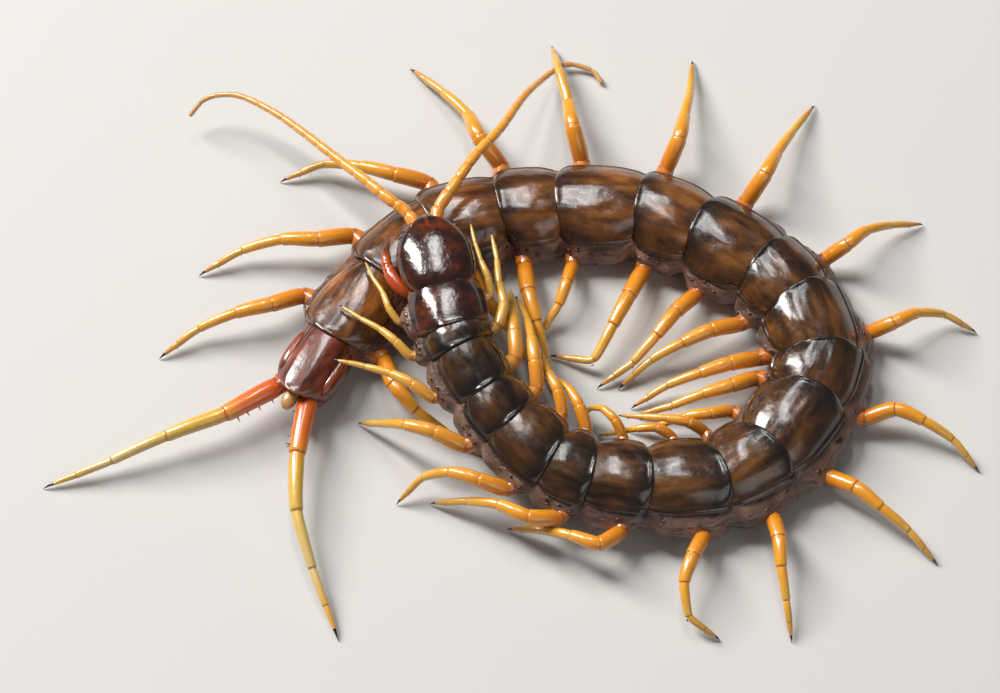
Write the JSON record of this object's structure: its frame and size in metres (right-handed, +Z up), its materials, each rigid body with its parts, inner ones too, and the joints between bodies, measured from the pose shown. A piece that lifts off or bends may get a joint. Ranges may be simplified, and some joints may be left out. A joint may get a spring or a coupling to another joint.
{
  "type": "giant centipede",
  "caption": "Life-size giant centipede lying in a loop, head over tail, with glossy dark back plates, orange legs, long feelers and venom claws; one rigid piece.",
  "frame": {"origin": "centre of the animal's footprint, on the floor", "axes": "+Z up from the floor, +X along the loop's longest side, from the trailing last legs' side towards the loop's round end, +Y from the legs of the near flank towards the far side of the loop"},
  "size_m": [0.1112, 0.0802, 0.0129],
  "materials": {
    "plates_front": "glossy near-black brown cuticle",
    "plates_middle": "glossy dark olive-brown cuticle",
    "plates_rear": "glossy mid-brown cuticle, reddish at the tail",
    "head": "very glossy dark red-brown cuticle",
    "venom_claws": "glossy orange-red cuticle with dark tips",
    "feelers": "glossy yellow-orange cuticle",
    "legs": "glossy yellow-orange cuticle with dark claws",
    "last_legs": "glossy cuticle, orange-red shading to pale yellow"
  },
  "bodies": {
    "root": {"trunk_1": "plates_front", "trunk_2": "plates_front", "trunk_3": "plates_middle", "trunk_4": "plates_middle", "trunk_5": "plates_middle", "trunk_6": "plates_rear", "trunk_7": "plates_rear", "head": "head", "venom_claw_base": "venom_claws", "venom_claw_left": "venom_claws", "venom_claw_right": "venom_claws", "feeler_left": "feelers", "feeler_right": "feelers", "leg_left_01": "legs", "leg_left_02": "legs", "leg_left_03": "legs", "leg_left_04": "legs", "leg_left_05": "legs", "leg_left_06": "legs", "leg_left_07": "legs", "leg_left_08": "legs", "leg_left_09": "legs", "leg_left_10": "legs", "leg_left_11": "legs", "leg_left_12": "legs", "leg_left_13": "legs", "leg_left_14": "legs", "leg_left_15": "legs", "leg_left_16": "legs", "leg_left_17": "legs", "leg_left_18": "legs", "leg_left_19": "legs", "leg_left_20": "legs", "leg_left_21": "last_legs", "leg_right_01": "legs", "leg_right_02": "legs", "leg_right_03": "legs", "leg_right_04": "legs", "leg_right_05": "legs", "leg_right_06": "legs", "leg_right_07": "legs", "leg_right_08": "legs", "leg_right_09": "legs", "leg_right_10": "legs", "leg_right_11": "legs", "leg_right_12": "legs", "leg_right_13": "legs", "leg_right_14": "legs", "leg_right_15": "legs", "leg_right_16": "legs", "leg_right_17": "legs", "leg_right_18": "legs", "leg_right_19": "legs", "leg_right_20": "legs", "leg_right_21": "last_legs"}
  },
  "joints": []
}
